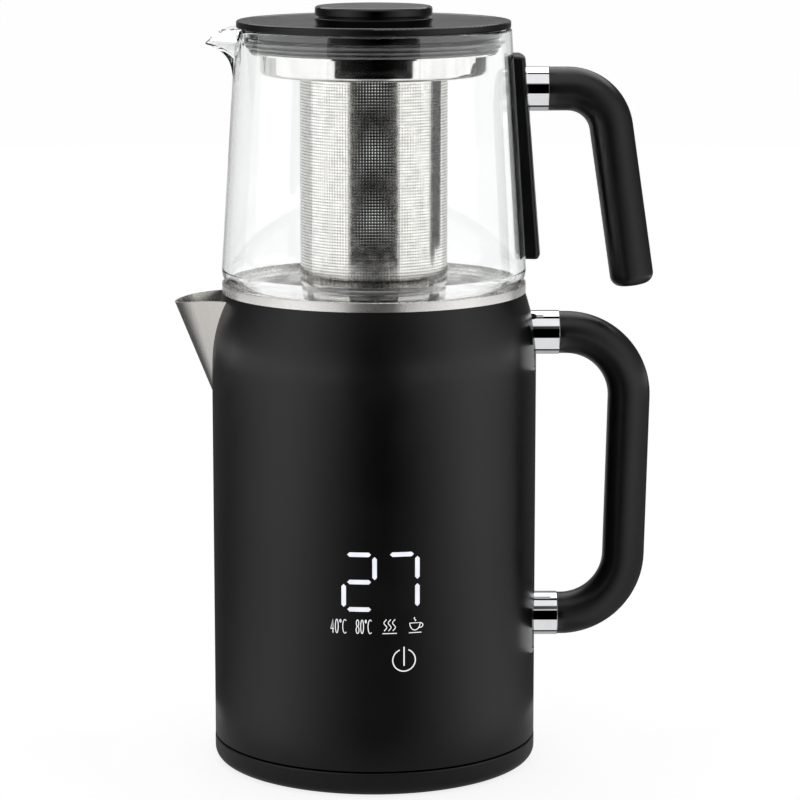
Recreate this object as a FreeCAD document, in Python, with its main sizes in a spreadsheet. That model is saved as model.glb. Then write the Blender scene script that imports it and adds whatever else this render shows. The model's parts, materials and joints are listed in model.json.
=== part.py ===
"""Two-tier electric tea maker, in millimetres.

A corded power base carries a double-walled kettle with a touch display. A glass
teapot with a steel infuser stands in the kettle's mouth, over a steel steam tray.
+Z is up, +X is the side of the two handles, -X that of the two spouts, and -Y the
front with the display. The origin is the centre of the face that the base rests on.
"""
import FreeCAD, Part
import math
import os
import re
import Sketcher
from FreeCAD import Vector

SIZES = {
    # power base
    "base_radius": 77.6,
    "base_top": 11.8,
    "base_floor": 0.5,
    "base_edge_round": 5.0,
    "base_wall": 2.2,
    "base_well_step": 1.2,
    "plate_radius": 70.2,
    "plate_thickness": 2.0,
    "foot_outer": 66.0,
    "foot_inner": 58.0,
    "foot_height": 1.5,
    "base_screw_circle": 48.0,
    "base_screw_length": 7.0,
    "base_post": 3.6,
    "cord_bore": 3.0,
    "gland_radius": 3.9,
    "gland_length": 11.4,
    "gland_proud": 0.4,
    "cord_height": 6.5,
    # 360 degree connector
    "boss_radius": 18.0,
    "boss_top": 24.7,
    "slot_outer": 12.0,
    "slot_inner": 9.0,
    "slot_depth": 10.0,
    "pin_hole": 2.8,
    "contact_sheet": 0.6,
    "pin_radius": 1.9,
    "coupler_radius": 22.4,
    "coupler_top": 30.1,
    "coupler_foot": 14.9,
    "coupler_wall": 4.0,
    # screws, the small ones and those of the handles
    "screw_core": 1.4,
    "screw_pilot": 1.5,
    "screw_clear": 1.8,
    "screw_head": 3.0,
    "screw_head_height": 1.0,
    "handle_screw": 2.0,
    "handle_screw_hole": 2.3,
    "handle_screw_length": 18.5,
    "handle_screw_head": 3.6,
    "washer_radius": 5.0,
    "washer_thickness": 1.2,
    "teapot_screw_length": 24.0,
    # kettle
    "body_radius": 77.5,
    "shell_wall": 1.2,
    "shell_foot": 12.7,
    "shoulder_start": 195.0,
    "shoulder_arc": 100.0,
    "shell_top": 228.0,
    "band_radius": 72.3,
    "band_top": 232.5,
    "band_wall": 0.8,
    "pot_radius": 66.5,
    "pot_wall": 1.0,
    "pot_foot": 44.0,
    "pot_corner": 9.0,
    "pot_flange": 69.4,
    "ledge_top": 226.3,
    "sheet": 0.8,
    # kettle spout, a cone with a round nose that leans out along the shoulder
    "spout_low": 180.0,
    "spout_high": 230.0,
    "spout_nose_low": 77.7,
    "spout_nose_high": 97.9,
    "spout_round_low": 6.0,
    "spout_round_high": 17.0,
    "spout_slope": 0.404,
    "spout_back": 62.0,
    "spout_sheet": 1.1,
    "spout_rim_start": 99.0,
    "spout_rim_outer": 221.9,
    "spout_rim_inner": 224.9,
    "spout_rim_arc": 103.0,
    # pouring duct and strainer
    "duct_low": 186.0,
    "duct_high": 220.0,
    "duct_width": 25.0,
    "duct_wall": 1.4,
    "duct_round": 4.0,
    "strainer_sheet": 0.7,
    "strainer_hole": 1.3,
    # inside the wall gap and the underside
    "screw_seat_high": 74.4,
    "screw_seat_low": 76.0,
    "housing_recess": 0.5,
    "housing_floor": 2.6,
    "housing_wall": 1.8,
    "housing_height": 15.0,
    "housing_post": 4.0,
    "housing_post_circle": 60.0,
    "housing_screw_length": 13.0,
    # heating and controls
    "heater_radius": 52.0,
    "heater_thickness": 3.0,
    "element_circle": 42.0,
    "element_tube": 3.3,
    "cutout_radius": 5.5,
    "sensor_radius": 3.5,
    "terminal_radius": 1.8,
    "board_thickness": 1.6,
    "board_half_width": 40.0,
    "board_back": 30.0,
    "board_corner": 58.5,
    "board_curve": 71.0,
    "control_level": 23.0,
    "display_depth": 69.8,
    "display_half_width": 22.0,
    "display_foot": 54.0,
    "display_top": 126.0,
    "touch_radius": 2.4,
    "touch_row": 79.0,
    "power_mark": 65.0,
    # handles
    "kettle_tube": 10.1,
    "teapot_tube": 10.35,
    "ferrule_radius": 10.5,
    "spigot_radius": 7.4,
    "kettle_ferrule_end": 88.5,
    "kettle_arm_high": 207.7,
    "kettle_arm_low": 69.8,
    "kettle_grip_high": 122.9,
    "kettle_grip_low": 119.6,
    "kettle_bend": 30.5,
    "teapot_arm": 324.0,
    "teapot_ferrule_start": 72.0,
    "teapot_ferrule_end": 82.6,
    "teapot_corner": 109.7,
    "teapot_grip_end": 123.5,
    "teapot_grip_foot": 230.8,
    "teapot_bend": 21.0,
    # steam tray
    "tray_flange": 69.2,
    "tray_mouth": 64.8,
    "tray_dish": 60.5,
    "tray_level": 226.6,
    "tray_depth": 4.2,
    "steam_circle": 20.0,
    "steam_hole": 2.6,
    # glass teapot
    "glass_foot": 227.5,
    "glass_floor": 2.6,
    "glass_wall": 2.4,
    "heel_radius": 11.5,
    "heel_level": 239.0,
    "glass_low_radius": 72.4,
    "glass_rim_radius": 65.0,
    "glass_rim": 352.5,
    "lip_tip": 79.0,
    "lip_level": 345.8,
    "lip_root": 325.0,
    "lip_slope": 0.5,
    "lip_wall": 2.0,
    "back_plate_top": 340.2,
    "back_plate_foot": 244.4,
    "back_plate_thin": 4.9,
    "back_plate_thick": 6.4,
    "back_plate_angle": 21.0,
    "bond_gap": 0.7,
    # infuser
    "basket_radius": 35.0,
    "basket_foot": 230.7,
    "basket_wall": 0.6,
    "cup_height": 6.4,
    "drain_hole": 1.6,
    "funnel_radius": 53.8,
    "funnel_foot": 331.0,
    "funnel_top": 341.0,
    "seal_foot": 341.9,
    "seal_top": 347.5,
    "seal_radius": 59.0,
    "seal_lip": 62.3,
    # lid
    "lid_radius": 64.7,
    "lid_foot": 352.8,
    "lid_top": 356.3,
    "dish_level": 354.0,
    "plug_radius": 60.3,
    "plug_foot": 348.3,
    "knob_radius": 27.7,
    "knob_top": 363.0,
    "knob_neck": 26.4,
    "knob_foot_top": 357.6,
}

SHEET = "Dimensions"

document = FreeCAD.newDocument("TeaMaker")
dimensions = document.addObject("Spreadsheet::Sheet", SHEET)
for row, (alias, size) in enumerate(SIZES.items(), 1):
    dimensions.set(f"A{row}", alias)
    dimensions.set(f"B{row}", str(size))
    dimensions.setAlias(f"B{row}", alias)
document.recompute()
sub_parts = []


def bound(expression):
    """An expression in the sheet's aliases, written out for setExpression."""
    return re.sub(
        r"[a-z][a-z_0-9]*",
        lambda word: f"{SHEET}.{word[0]}" if word[0] in SIZES else word[0],
        str(expression),
    )


def value(expression):
    """The number that such an expression has now."""
    return float(dimensions.evalExpression(bound(expression)))


def new_body(label):
    body = document.addObject("PartDesign::Body", label)
    body.Label = label
    sub_parts.append(body)
    return body


def attach(body, sketch, plane, offset):
    """Lay a sketch on one of its body's origin planes, moved along the normal."""
    for feature in body.Origin.OriginFeatures:
        if feature.Role == plane:
            sketch.AttachmentSupport = [(feature, "")]
    sketch.MapMode = "FlatFace"
    sketch.setExpression(".AttachmentOffset.Base.z", bound(offset))


def place(sketch, geometry, vertex, x, y):
    """Dimension a sketch vertex from the origin with two expressions."""
    for kind, expression, axis in (("DistanceX", x, -2), ("DistanceY", y, -1)):
        if abs(value(expression)) < 1e-7:
            sketch.addConstraint(
                Sketcher.Constraint("PointOnObject", geometry, vertex, axis)
            )
        else:
            number = sketch.addConstraint(
                Sketcher.Constraint(kind, -1, 1, geometry, vertex, value(expression))
            )
            sketch.setExpression(f"Constraints[{number}]", bound(expression))


def set_radius(sketch, geometry, expression):
    number = sketch.addConstraint(
        Sketcher.Constraint("Radius", geometry, value(expression))
    )
    sketch.setExpression(f"Constraints[{number}]", bound(expression))


def arc_about(centre, start, end):
    """The shorter arc, drawn anticlockwise, and its vertices at start and end."""
    angles = [math.atan2((p - centre).y, (p - centre).x) for p in (start, end)]
    forward = (angles[1] - angles[0]) % math.tau < math.pi
    low, high = angles if forward else reversed(angles)
    circle = Part.Circle(centre, Vector(0, 0, 1), (start - centre).Length)
    arc = Part.ArcOfCircle(circle, low, low + (high - low) % math.tau)
    return arc, (1, 2) if forward else (2, 1)


def bulge_centre(start, end, radius):
    """The centre of an arc; with a positive radius it lies left of the way it runs."""
    chord = end - start
    reach = math.sqrt(radius**2 - (chord.Length / 2) ** 2)
    left = Vector(-chord.y, chord.x, 0).normalize()
    return (start + end) / 2 + left * math.copysign(reach, radius)


def draw(body, plane, corners, offset="0", closed=True):
    """A sketch through corners given as expressions.

    A corner is (x, y), (x, y, "round", radius) for a tangent round at it, or
    (x, y, "arc", radius) for an arc from it to the next corner, which bulges to
    the right of the way it runs, or to the left if the radius is negative.
    """
    sketch = body.newObject("Sketcher::SketchObject", f"{body.Label}_sketch")
    attach(body, sketch, plane, offset)
    count = len(corners)
    points = [Vector(value(c[0]), value(c[1]), 0) for c in corners]
    rounds = [c[3] if len(c) > 2 and c[2] == "round" else None for c in corners]
    bulges = [c[3] if len(c) > 2 and c[2] == "arc" else None for c in corners]
    enter, leave = list(points), list(points)
    for i in range(count):
        if rounds[i]:
            to_last = (points[i - 1] - points[i]).normalize()
            to_next = (points[(i + 1) % count] - points[i]).normalize()
            reach = value(rounds[i]) / math.tan(to_last.getAngle(to_next) / 2)
            enter[i] = points[i] + to_last * reach
            leave[i] = points[i] + to_next * reach
    edges = []
    for i in range(count if closed else count - 1):
        start, end = leave[i], enter[(i + 1) % count]
        if bulges[i]:
            centre = bulge_centre(start, end, value(bulges[i]))
            curve, ends = arc_about(centre, start, end)
        else:
            curve, ends = Part.LineSegment(start, end), (1, 2)
        edges.append((sketch.addGeometry(curve), *ends))
        if bulges[i]:
            set_radius(sketch, edges[-1][0], f"abs({bulges[i]})")
    for i in range(count):
        x, y = corners[i][:2]
        if not closed and i in (0, count - 1):
            edge, first, last = edges[0 if i == 0 else -1]
            place(sketch, edge, first if i == 0 else last, x, y)
            continue
        before, _, arrival = edges[i - 1]
        after, departure, _ = edges[i]
        if rounds[i]:
            inward = ((enter[i] + leave[i]) / 2 - points[i]).normalize()
            reach = math.hypot((enter[i] - points[i]).Length, value(rounds[i]))
            curve, ends = arc_about(points[i] + inward * reach, enter[i], leave[i])
            arc = sketch.addGeometry(curve)
            corner = sketch.addGeometry(Part.Point(points[i]), True)
            for link in ((before, 2, arc, ends[0]), (arc, ends[1], after, 1)):
                sketch.addConstraint(Sketcher.Constraint("Tangent", *link))
            set_radius(sketch, arc, rounds[i])
            place(sketch, corner, 1, x, y)
            for line in (before, after):
                sketch.addConstraint(
                    Sketcher.Constraint("PointOnObject", corner, 1, line)
                )
        else:
            sketch.addConstraint(
                Sketcher.Constraint("Coincident", before, arrival, after, departure)
            )
            place(sketch, after, departure, x, y)
    if sketch.solve():
        raise RuntimeError(f"{body.Label}: the sketch can't be solved")
    return sketch


def circles(body, plane, centres, radius, offset="0"):
    """A sketch of equal circles; the centres and the radius are expressions."""
    sketch = body.newObject("Sketcher::SketchObject", f"{body.Label}_circles")
    attach(body, sketch, plane, offset)
    for x, y in centres:
        centre = Vector(value(x), value(y), 0)
        circle = sketch.addGeometry(Part.Circle(centre, Vector(0, 0, 1), value(radius)))
        place(sketch, circle, 3, x, y)
        set_radius(sketch, circle, radius)
    return sketch


def feature(body, kind, profile, **settings):
    """Add a PartDesign feature; text settings are expressions, others plain."""
    made = body.newObject(f"PartDesign::{kind}", f"{body.Label}_{kind}")
    made.Profile = profile
    for name, setting in settings.items():
        if isinstance(setting, str) and name in ("Length", "Angle"):
            made.setExpression(name, bound(setting))
        else:
            setattr(made, name, setting)
    body.Tip = made
    document.recompute()
    return made


def turn(body, corners, kind="Revolution", angle="360", midplane=False):
    """Revolve an outline of radius and height about the vertical axis."""
    profile = draw(body, "XZ_Plane", corners)
    return feature(
        body,
        kind,
        profile,
        ReferenceAxis=(profile, ["V_Axis"]),
        Angle=angle,
        Midplane=midplane,
    )


def box_outline(x_low, x_high, y_low, y_high, rounding=None):
    """The four corners of a rectangle, with or without rounds."""
    extra = ("round", rounding) if rounding else ()
    spots = ((x_low, y_low), (x_high, y_low), (x_high, y_high), (x_low, y_high))
    return [(x, y, *extra) for x, y in spots]


def polar(body, original, count):
    """Repeat a feature round the body's vertical axis."""
    pattern = body.newObject("PartDesign::PolarPattern", f"{body.Label}_ring")
    pattern.Originals = [original]
    for axis in body.Origin.OriginFeatures:
        if axis.Role == "Z_Axis":
            pattern.Axis = (axis, [""])
    pattern.Angle = 360
    pattern.Occurrences = count
    body.Tip = pattern
    document.recompute()
    return pattern


def fillet(body, radius, wanted, kind="Fillet"):
    """Round, or chamfer, the edges of the body's tip that a test picks."""
    base = body.Tip
    picked = [
        f"Edge{i}" for i, edge in enumerate(base.Shape.Edges, 1) if wanted(edge)
    ]
    if not picked:
        raise RuntimeError(f"{body.Label}: no edge to round")
    made = body.newObject(f"PartDesign::{kind}", f"{body.Label}_{kind}")
    made.Base = (base, picked)
    made.setExpression("Radius" if kind == "Fillet" else "Size", bound(radius))
    body.Tip = made
    document.recompute()
    return made


def pipe(body, radius, start_plane, start, path, offset="0"):
    """Sweep a circle along a planar path of runs and tangent bends."""
    profile = circles(body, start_plane, [start], radius, offset)
    spine = draw(body, "XZ_Plane", path, closed=False)
    document.recompute()
    made = body.newObject("PartDesign::AdditivePipe", f"{body.Label}_pipe")
    made.Profile = profile
    made.Spine = (spine, [f"Edge{i + 1}" for i in range(len(spine.Shape.Edges))])
    body.Tip = made
    document.recompute()
    return made


def loft(body, kind, sections, ruled=True):
    """Join two or more outlines, from the lowest to the highest."""
    made = body.newObject(f"PartDesign::{kind}", f"{body.Label}_{kind}")
    made.Profile = sections[0]
    made.Sections = sections[1:]
    made.Ruled = ruled
    body.Tip = made
    document.recompute()
    return made


def through_x(body, corners, start, length, reverse=False, kind="Pad"):
    """Extrude an outline of Y and Z along X from a stated X."""
    profile = draw(body, "YZ_Plane", corners, start)
    return feature(body, kind, profile, Length=length, Reversed=reverse)


def rod_x(body, height, radius, start, length, kind="Pad", reverse=False):
    """A round bar or hole along +X at Y = 0."""
    profile = circles(body, "YZ_Plane", [("0", height)], radius, start)
    return feature(body, kind, profile, Length=length, Reversed=reverse)


def rod_z(body, centres, radius, start, length, kind="Pad", reverse=False):
    """Round bars or holes along +Z."""
    profile = circles(body, "XY_Plane", centres, radius, start)
    return feature(body, kind, profile, Length=length, Reversed=reverse)


# ---------------------------------------------------------------- power base

BASE_INSIDE = "base_floor + plate_thickness"
SCREW_SEAT = "base_floor + 0.1"
BASE_SCREWS = 4


def make_base_cover():
    """The black disc under the kettle, a shell open below, with four screw posts."""
    body = new_body("base_cover")
    rim = "base_radius - base_wall"
    turn(body, [
        ("base_radius", "base_floor", "round", "base_edge_round"),
        ("base_radius", "base_top", "round", "0.8"),
        ("coupler_radius + 3", "base_top"),
        ("coupler_radius + 1.5", "base_top - base_well_step"),
        ("boss_radius + 0.2", "base_top - base_well_step"),
        ("boss_radius + 0.2", "base_top - base_wall - base_well_step"),
        ("coupler_radius + 4", "base_top - base_wall - base_well_step"),
        ("coupler_radius + 5.5", "base_top - base_wall"),
        (rim, "base_top - base_wall", "round", "1.5"),
        (rim, BASE_INSIDE, "round", "4.0"),
        ("plate_radius + 0.2", BASE_INSIDE),
        ("plate_radius + 0.2", "base_floor"),
    ])
    spot = [("base_screw_circle", "0")]
    rise = f"base_top - base_wall - ({BASE_INSIDE})"
    post = rod_z(body, spot, "base_post", BASE_INSIDE, rise)
    polar(body, post, BASE_SCREWS)
    depth = "base_screw_length - 0.6"
    pilot = rod_z(body, spot, "screw_pilot", BASE_INSIDE, depth, "Pocket", True)
    polar(body, pilot, BASE_SCREWS)
    hole = circles(body, "XZ_Plane", [("0", "cord_height")], "gland_radius + 0.02", "-90")
    feature(body, "Pocket", hole, Length="30", Reversed=True)


def make_base_plate():
    """The plate that closes the base, with a groove for the foot ring."""
    body = new_body("base_plate")
    turn(body, [
        ("0", "base_floor"),
        ("foot_inner - 0.1", "base_floor"),
        ("foot_inner - 0.1", "foot_height"),
        ("foot_outer + 0.1", "foot_height"),
        ("foot_outer + 0.1", "base_floor"),
        ("plate_radius", "base_floor", "round", "0.4"),
        ("plate_radius", BASE_INSIDE),
        ("0", BASE_INSIDE),
    ])
    spot = [("base_screw_circle", "0")]
    clear = rod_z(body, spot, "screw_clear", "0", "5", "Pocket", True)
    polar(body, clear, BASE_SCREWS)
    depth = "screw_head_height + 0.1"
    seat = rod_z(body, spot, "screw_head + 0.3", "base_floor", depth, "Pocket", True)
    polar(body, seat, BASE_SCREWS)


def make_foot_ring():
    """The soft ring that the whole appliance stands on."""
    body = new_body("foot_ring")
    turn(body, [
        ("foot_inner", "0"),
        ("foot_outer", "0"),
        ("foot_outer", "foot_height"),
        ("foot_inner", "foot_height"),
    ])


def make_base_screws():
    """Four screws from below, each with a pan head and a shank."""
    body = new_body("base_screws")
    spot = [("base_screw_circle", "0")]
    shank = rod_z(body, spot, "screw_core", SCREW_SEAT, "base_screw_length")
    polar(body, shank, BASE_SCREWS)
    head = rod_z(body, spot, "screw_head", SCREW_SEAT, "screw_head_height")
    polar(body, head, BASE_SCREWS)


def make_base_socket():
    """The round female connector, with a ring slot, a pin hole and a flange."""
    body = new_body("base_socket")
    flange = "base_top - base_wall - base_well_step - 0.1"
    turn(body, [
        ("0", BASE_INSIDE),
        ("boss_radius + 3.5", BASE_INSIDE),
        ("boss_radius + 3.5", flange),
        ("boss_radius", flange),
        ("boss_radius", "boss_top", "round", "1.2"),
        ("slot_outer", "boss_top"),
        ("slot_outer", "boss_top - slot_depth"),
        ("slot_inner", "boss_top - slot_depth"),
        ("slot_inner", "boss_top"),
        ("pin_hole", "boss_top"),
        ("pin_hole", "boss_top - slot_depth"),
        ("0", "boss_top - slot_depth"),
    ])


def make_socket_contacts():
    """Two sprung brass rings in the slot's floor and a cup below the pin."""
    body = new_body("socket_contacts")
    level = "boss_top - slot_depth"
    turn(body, [
        ("slot_outer - 0.1 - contact_sheet", level),
        ("slot_outer - 0.1", level),
        ("slot_outer - 0.1", f"{level} + 7"),
        ("slot_outer - 0.1 - contact_sheet", f"{level} + 7"),
    ])
    turn(body, [
        ("0", level),
        ("pin_hole - 0.1", level),
        ("pin_hole - 0.1", f"{level} + 0.5"),
        ("0", f"{level} + 0.5"),
    ])


def make_cord_gland():
    """The sleeve at the back of the base that the mains cord enters by."""
    body = new_body("cord_gland")
    centre = [("0", "cord_height")]
    start = "-base_radius - gland_proud"
    sleeve = circles(body, "XZ_Plane", centre, "gland_radius", start)
    feature(body, "Pad", sleeve, Length="gland_length")
    bore = circles(body, "XZ_Plane", centre, "cord_bore", "-base_radius - 5")
    feature(body, "Pocket", bore, Length="30", Reversed=True)
    fillet(body, "0.3", lambda edge: edge.BoundBox.YMin > SIZES["base_radius"], "Chamfer")


# ---------------------------------------------------------------- connector

def make_coupler():
    """The round male connector in the kettle's underside."""
    body = new_body("kettle_coupler")
    turn(body, [
        ("0", "coupler_top - coupler_wall"),
        ("boss_radius + 2.2", "coupler_top - coupler_wall"),
        ("boss_radius + 2.2", "coupler_foot", "round", "0.8"),
        ("coupler_radius", "coupler_foot", "round", "0.8"),
        ("coupler_radius", "coupler_top"),
        ("0", "coupler_top"),
    ])


def make_coupler_contacts():
    """The ring and the centre pin that enter the base's socket."""
    body = new_body("coupler_contacts")
    top = "coupler_top - coupler_wall"
    turn(body, [
        ("slot_inner + 0.6", "boss_top - slot_depth + 1"),
        ("slot_inner + 1.6", "boss_top - slot_depth + 1"),
        ("slot_inner + 1.6", top),
        ("slot_inner + 0.6", top),
    ])
    turn(body, [
        ("0", "boss_top - slot_depth + 1.4"),
        ("pin_radius", "boss_top - slot_depth + 1.4", "round", "1.2"),
        ("pin_radius", top),
        ("0", top),
    ])


# ---------------------------------------------------------------- kettle

SHELL_INSIDE = "body_radius - shell_wall"
INNER_ARC = "shoulder_arc - shell_wall"


def shoulder_radius(arc):
    """The radius at the shoulder's top edge, for the outer or the inner arc."""
    return f"(body_radius - shoulder_arc + sqrt(({arc})^2 - (shell_top - shoulder_start)^2))"


def cut_outside(body, clearance="0"):
    """Trim away what lies inside the kettle's outer surface."""
    edge = f"{shoulder_radius('shoulder_arc')} + {clearance}"
    turn(body, [
        ("0", "shell_foot"),
        (f"body_radius + {clearance}", "shell_foot"),
        (f"body_radius + {clearance}", "shoulder_start", "arc", "shoulder_arc"),
        (edge, "shell_top"),
        (edge, "shell_top + 8"),
        ("0", "shell_top + 8"),
    ], "Groove")


def duct_outline(inset):
    """The three-cornered outline of the pouring duct, moved inwards or outwards."""
    half = f"(duct_width / 2 - ({inset}) * 1.45)"
    rounding = f"(duct_round - ({inset}))"
    return [
        ("0", f"duct_low + ({inset}) * 3.1", "round", rounding),
        (half, f"duct_high - ({inset})", "round", rounding),
        (f"-{half}", f"duct_high - ({inset})", "round", rounding),
    ]


def make_outer_shell():
    """The coated outer wall with its rounded shoulder, spout hole and screw holes."""
    body = new_body("outer_shell")
    turn(body, [
        ("body_radius", "shell_foot"),
        ("body_radius", "shoulder_start", "arc", "shoulder_arc"),
        (shoulder_radius("shoulder_arc"), "shell_top"),
        (shoulder_radius(INNER_ARC), "shell_top", "arc", f"-({INNER_ARC})"),
        (SHELL_INSIDE, "shoulder_start"),
        (SHELL_INSIDE, "shell_foot"),
    ])
    through_x(body, duct_outline("-0.05"), "-90", "30", True, "Pocket")
    for height in ("kettle_arm_high", "kettle_arm_low"):
        rod_x(body, height, "handle_screw_hole", "60", "30", "Pocket", True)


def make_inner_pot():
    """The steel water pot with a rounded floor, a flange and the pouring hole."""
    body = new_body("inner_pot")
    inside = "pot_radius - pot_wall"
    flange = "ledge_top - 2 * sheet"
    turn(body, [
        ("0", "pot_foot"),
        ("pot_radius", "pot_foot", "round", "pot_corner"),
        ("pot_radius", f"{flange} - pot_wall"),
        ("pot_flange", f"{flange} - pot_wall"),
        ("pot_flange", flange),
        (inside, flange, "round", "0.9"),
        (inside, "pot_foot + pot_wall", "round", "pot_corner - pot_wall"),
        ("0", "pot_foot + pot_wall"),
    ])
    through_x(body, duct_outline("duct_wall"), "-80", "30", True, "Pocket")


def make_pot_gasket():
    body = new_body("pot_gasket")
    turn(body, [
        ("pot_radius + 0.2", "ledge_top - 2 * sheet"),
        ("pot_flange", "ledge_top - 2 * sheet"),
        ("pot_flange", "ledge_top - sheet"),
        ("pot_radius + 0.2", "ledge_top - sheet"),
    ])


def make_top_collar():
    """The bright band on the shoulder, with the ledge that the tray lies on."""
    body = new_body("top_collar")
    skirt = "pot_flange + 1.0"
    turn(body, [
        ("band_radius", "shell_top"),
        ("band_radius", "band_top", "round", "0.39"),
        ("band_radius - band_wall", "band_top", "round", "0.39"),
        ("band_radius - band_wall", "shell_top + sheet"),
        (f"{skirt} - sheet", "shell_top + sheet"),
        (f"{skirt} - sheet", "ledge_top"),
        ("pot_radius", "ledge_top"),
        ("pot_radius", "ledge_top - sheet"),
        (skirt, "ledge_top - sheet"),
        (skirt, "shell_top"),
    ])


def vee(tip, back, slope, rounding):
    """The corners of a V, pointing to -X, with a rounded tip."""
    half = f"({tip} - ({back})) * {slope}"
    return [
        (f"-({back})", f"-({half})"),
        (f"-({back})", half),
        (f"-({tip})", "0", "round", rounding),
    ]


# How far an apex lies from the centre of the round in it, in radii.
SPOUT_APEX = "(sqrt(1 + spout_slope^2) / spout_slope)"


def make_kettle_spout():
    """A cone of steel sheet with a round nose, open towards the kettle's wall."""
    body = new_body("kettle_spout")
    for kind, inset, overrun in (
        ("AdditiveLoft", "0", "0"),
        ("SubtractiveLoft", "spout_sheet", "0.01"),
    ):
        sections = []
        for nose, rounding, height in (
            ("spout_nose_low", "spout_round_low", f"spout_low - {overrun}"),
            ("spout_nose_high", "spout_round_high", f"spout_high + {overrun}"),
        ):
            inner = f"({rounding} - {inset})"
            apex = f"{nose} - {inset} + {inner} * ({SPOUT_APEX} - 1)"
            outline = vee(apex, f"spout_back - {inset} * 4", "spout_slope", inner)
            sections.append(draw(body, "XY_Plane", outline, height))
        loft(body, kind, sections)
    rim = draw(body, "XZ_Plane", [
        ("-spout_rim_start", "spout_rim_outer", "arc", "-spout_rim_arc"),
        ("-spout_back", "spout_rim_inner"),
        ("-spout_back", "spout_high + 5"),
        ("-spout_rim_start", "spout_high + 5"),
    ])
    feature(body, "Pocket", rim, Length="80", Midplane=True)
    cut_outside(body)


def make_spout_duct():
    """The moulded tunnel from the water pot's hole to the spout."""
    body = new_body("spout_duct")
    through_x(body, duct_outline("0"), "-73.8", "9.8")
    through_x(body, duct_outline("duct_wall"), "-80", "30", True, "Pocket")
    turn(body, box_outline("0", "pot_radius", "duct_low - 5", "duct_high + 5"), "Groove")


def make_spout_strainer():
    """A curved plate with rows of holes, inside the water pot's pouring hole."""
    body = new_body("spout_strainer")
    outside = "pot_radius - pot_wall - 0.05"
    turn(
        body,
        box_outline(
            f"-({outside})", f"-({outside} - strainer_sheet)", "duct_low - 1", "duct_high",
        ),
        angle="25", midplane=True,
    )
    centres = [
        (f"{4.2 * (column - line / 2)}", f"duct_low + {4.6 * line + 9.5}")
        for line in range(5)
        for column in range(line + 1)
    ]
    profile = circles(body, "YZ_Plane", centres, "strainer_hole", "-80")
    feature(body, "Pocket", profile, Length="30", Reversed=True)


def make_ferrule(label, height, start, end):
    """A bright ring between a handle and what carries it."""
    body = new_body(label)
    rod_x(body, height, "ferrule_radius", start, f"{end} - ({start})")
    rod_x(body, height, "spigot_radius + 0.1", "60", "40", "Pocket", True)

    def at_end(edge):
        return (
            edge.Curve.TypeId == "Part::GeomCircle"
            and abs(edge.Curve.Radius - value("ferrule_radius")) < 0.01
            and abs(edge.Curve.Center.x - value(end)) < 0.01
        )

    fillet(body, "0.35", at_end, "Chamfer")
    return body


def make_kettle_ferrules():
    for label, height in (
        ("upper_ferrule", "kettle_arm_high"),
        ("lower_ferrule", "kettle_arm_low"),
    ):
        body = make_ferrule(label, height, "body_radius - 3", "kettle_ferrule_end")
        cut_outside(body, "0.02")


def make_kettle_grip():
    """The D-shaped tube handle, with a spigot at each end for its ferrule."""
    body = new_body("kettle_grip")
    path = [
        ("kettle_ferrule_end", "kettle_arm_high"),
        ("kettle_grip_high", "kettle_arm_high", "round", "kettle_bend"),
        ("kettle_grip_low", "kettle_arm_low", "round", "kettle_bend"),
        ("kettle_ferrule_end", "kettle_arm_low"),
    ]
    start = ("0", "kettle_arm_high")
    pipe(body, "kettle_tube", "YZ_Plane", start, path, "kettle_ferrule_end")
    root = "body_radius + 1.5"
    for height in ("kettle_arm_high", "kettle_arm_low"):
        rod_x(body, height, "spigot_radius", root, f"kettle_ferrule_end - ({root})")
        rod_x(body, height, "handle_screw + 0.1", "70", "25", "Pocket", True)


def make_handle_screws():
    """Two screws with washers that hold the handle from inside the wall gap."""
    body = new_body("handle_screws")
    for height, wall in (
        ("kettle_arm_high", "screw_seat_high"),
        ("kettle_arm_low", "screw_seat_low"),
    ):
        washer = f"{wall} - washer_thickness"
        head = f"{washer} - screw_head_height * 2.4"
        rod_x(body, height, "handle_screw", f"{wall} - 1", "handle_screw_length")
        rod_x(body, height, "washer_radius", washer, "washer_thickness")
        rod_x(body, height, "handle_screw_head", head, f"{washer} - ({head})")


HOUSING_SCREWS = 3


def make_bottom_housing():
    """The kettle's underside: a rim, a floor and the well of the connector."""
    body = new_body("bottom_housing")
    edge = "(body_radius - shell_wall - 0.2)"
    well = "(coupler_radius + 0.8)"
    recess = "shell_foot - housing_recess"
    floor = "shell_foot + housing_floor"
    turn(body, [
        (well, recess),
        ("body_radius - 6", recess),
        ("body_radius - 4.5", "shell_foot + 0.2"),
        (edge, "shell_foot + 0.2"),
        (edge, "shell_foot + housing_height"),
        (f"{edge} - housing_wall", "shell_foot + housing_height"),
        (f"{edge} - housing_wall", floor),
        (f"{well} + housing_wall", floor),
        (f"{well} + housing_wall", "coupler_top + 0.8 + housing_wall"),
        ("0", "coupler_top + 0.8 + housing_wall"),
        ("0", "coupler_top + 0.8"),
        (well, "coupler_top + 0.8"),
    ])
    spot = [("0", "housing_post_circle")]
    post = rod_z(body, spot, "housing_post", "shell_foot + 1", "housing_height + 4")
    polar(body, post, HOUSING_SCREWS)
    start, depth = "shell_foot - 2", "housing_screw_length + 3"
    pilot = rod_z(body, spot, "screw_pilot", start, depth, "Pocket", True)
    polar(body, pilot, HOUSING_SCREWS)


def make_housing_screws():
    """Three screws in the posts of the underside."""
    body = new_body("housing_screws")
    spot = [("0", "housing_post_circle")]
    start = "shell_foot - housing_recess + 0.1"
    shank = rod_z(body, spot, "screw_core", start, "housing_screw_length")
    polar(body, shank, HOUSING_SCREWS)


# ------------------------------------------------------ heating and controls

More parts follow.
